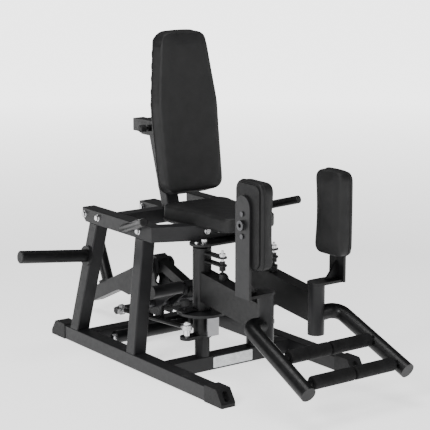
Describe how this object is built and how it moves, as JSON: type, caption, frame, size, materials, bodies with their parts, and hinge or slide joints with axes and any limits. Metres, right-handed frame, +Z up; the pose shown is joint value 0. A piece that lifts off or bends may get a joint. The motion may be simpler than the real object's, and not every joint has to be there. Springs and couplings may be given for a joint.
{
  "type": "seated hip adductor and abductor machine",
  "caption": "Plate-loaded seated thigh machine: two coupled swinging leg arms with foot pegs and swivel thigh pads lift a rear weight lever; adjustable backrest.",
  "frame": {"origin": "floor level, at the middle of the footprint", "axes": "+Z up, +Y towards the weight lever at the rear, +X to the seated user's left; the user faces -Y"},
  "size_m": [1.1976, 1.7445, 1.2541],
  "materials": {
    "frame_black": "fine satin texture powder coat",
    "bolt_chrome": "bright plated",
    "vinyl": "grained black upholstery vinyl",
    "rubber": "matt black",
    "board": "moulded backing board",
    "plastic": "moulded, slightly textured",
    "plate_aluminium": "brushed",
    "slider_steel": "dark zinc",
    "lock_steel": "black with satin sheen"
  },
  "bodies": {
    "frame": {"base_rails": "frame_black", "base_shoes": "plastic", "front_crossbeam": "frame_black", "rear_crossbeam": "frame_black", "nameplate": "plate_aluminium", "rear_posts": "frame_black", "front_posts": "frame_black", "top_rails": "frame_black", "front_top_tubes": "frame_black", "column_head_beam": "frame_black", "rear_top_crossbeam": "frame_black", "seat_spine": "frame_black", "seat_board": "board", "seat_pad": "vinyl", "back_upright": "frame_black", "back_sleeve": "frame_black", "handles": "frame_black", "storage_horns": "frame_black", "leg_columns": "frame_black", "lever_carriers": "frame_black", "lower_tube": "frame_black", "rest_bumper": "rubber", "frame_bolts": "bolt_chrome"},
    "back_carriage": {"back_slider": "frame_black", "back_board": "board", "back_pad": "vinyl"},
    "back_pin": {"back_pin": "plastic"},
    "weight_lever": {"weight_lever": "frame_black", "lever_cheeks": "frame_black", "lever_shafts": "slider_steel", "lever_crossbars": "frame_black", "link_pins": "bolt_chrome", "lever_bumper": "rubber", "load_horn": "frame_black"},
    "crank_right": {"crank_right": "frame_black", "selector_disc_right": "frame_black", "crank_stud_right": "bolt_chrome"},
    "link_right": {"link_rod_right": "frame_black"},
    "leg_right": {"leg_arm_right": "frame_black", "foot_frame_right": "frame_black", "foot_pegs_right": "rubber", "leg_lock_pin_right": "lock_steel"},
    "selector_right": {"selector_pin_right": "plastic"},
    "thigh_right": {"thigh_bracket_right": "frame_black", "thigh_board_right": "board", "thigh_pad_right": "vinyl", "thigh_screws_right": "slider_steel"},
    "crank_left": {"crank_left": "frame_black", "selector_disc_left": "frame_black", "crank_stud_left": "bolt_chrome"},
    "link_left": {"link_rod_left": "frame_black"},
    "leg_left": {"leg_arm_left": "frame_black", "foot_frame_left": "frame_black", "foot_pegs_left": "rubber", "leg_lock_pin_left": "lock_steel"},
    "selector_left": {"selector_pin_left": "plastic"},
    "thigh_left": {"thigh_bracket_left": "frame_black", "thigh_board_left": "board", "thigh_pad_left": "vinyl", "thigh_screws_left": "slider_steel"}
  },
  "joints": [
    {"name": "crank_swing_right", "type": "hinge", "parent": "frame", "child": "crank_right", "pos_m": [-0.122, -0.105, 0.138], "axis": [0, 0, -1], "range_deg": [0, 40]},
    {"name": "link_swing_right", "type": "hinge", "parent": "crank_right", "child": "link_right", "pos_m": [-0.192, -0.105, 0.178], "axis": [0, 0, 1], "range_deg": [0, 43]},
    {"name": "start_position_right", "type": "hinge", "parent": "crank_right", "child": "leg_right", "pos_m": [-0.122, -0.105, 0.36], "axis": [0, 0, -1], "range_deg": [0, 40]},
    {"name": "selector_pull_right", "type": "slide", "parent": "leg_right", "child": "selector_right", "axis": [0, 0, -1], "range_m": [0, 0.01]},
    {"name": "pad_swivel_right", "type": "hinge", "parent": "leg_right", "child": "thigh_right", "pos_m": [-0.118, -0.485, 0.38], "axis": [0, 0, 1], "range_deg": [0, 180]},
    {"name": "crank_swing_left", "type": "hinge", "parent": "frame", "child": "crank_left", "pos_m": [0.122, -0.105, 0.138], "axis": [0, 0, 1], "range_deg": [0, 40]},
    {"name": "link_swing_left", "type": "hinge", "parent": "crank_left", "child": "link_left", "pos_m": [0.192, -0.105, 0.178], "axis": [0, 0, -1], "range_deg": [0, 43]},
    {"name": "start_position_left", "type": "hinge", "parent": "crank_left", "child": "leg_left", "pos_m": [0.122, -0.105, 0.36], "axis": [0, 0, 1], "range_deg": [0, 40]},
    {"name": "selector_pull_left", "type": "slide", "parent": "leg_left", "child": "selector_left", "axis": [0, 0, -1], "range_m": [0, 0.01]},
    {"name": "pad_swivel_left", "type": "hinge", "parent": "leg_left", "child": "thigh_left", "pos_m": [0.118, -0.485, 0.38], "axis": [0, 0, -1], "range_deg": [0, 180]},
    {"name": "lever_swing", "type": "hinge", "parent": "frame", "child": "weight_lever", "pos_m": [0, 0.371, 0.298], "axis": [1, 0, 0], "range_deg": [0, 18]},
    {"name": "back_slide", "type": "slide", "parent": "frame", "child": "back_carriage", "axis": [0, -1, 0], "range_m": [-0.04, 0.06]},
    {"name": "back_pin_pull", "type": "slide", "parent": "frame", "child": "back_pin", "axis": [1, 0, 0], "range_m": [0, 0.008]}
  ],
  "couplings": [
    {"joint": "link_swing_right", "follows": "crank_swing_right", "ratio": 1.052},
    {"joint": "link_swing_left", "follows": "crank_swing_right", "ratio": 1.052},
    {"joint": "crank_swing_left", "follows": "crank_swing_right", "ratio": 1},
    {"joint": "lever_swing", "follows": "crank_swing_right", "ratio": 0.43}
  ]
}
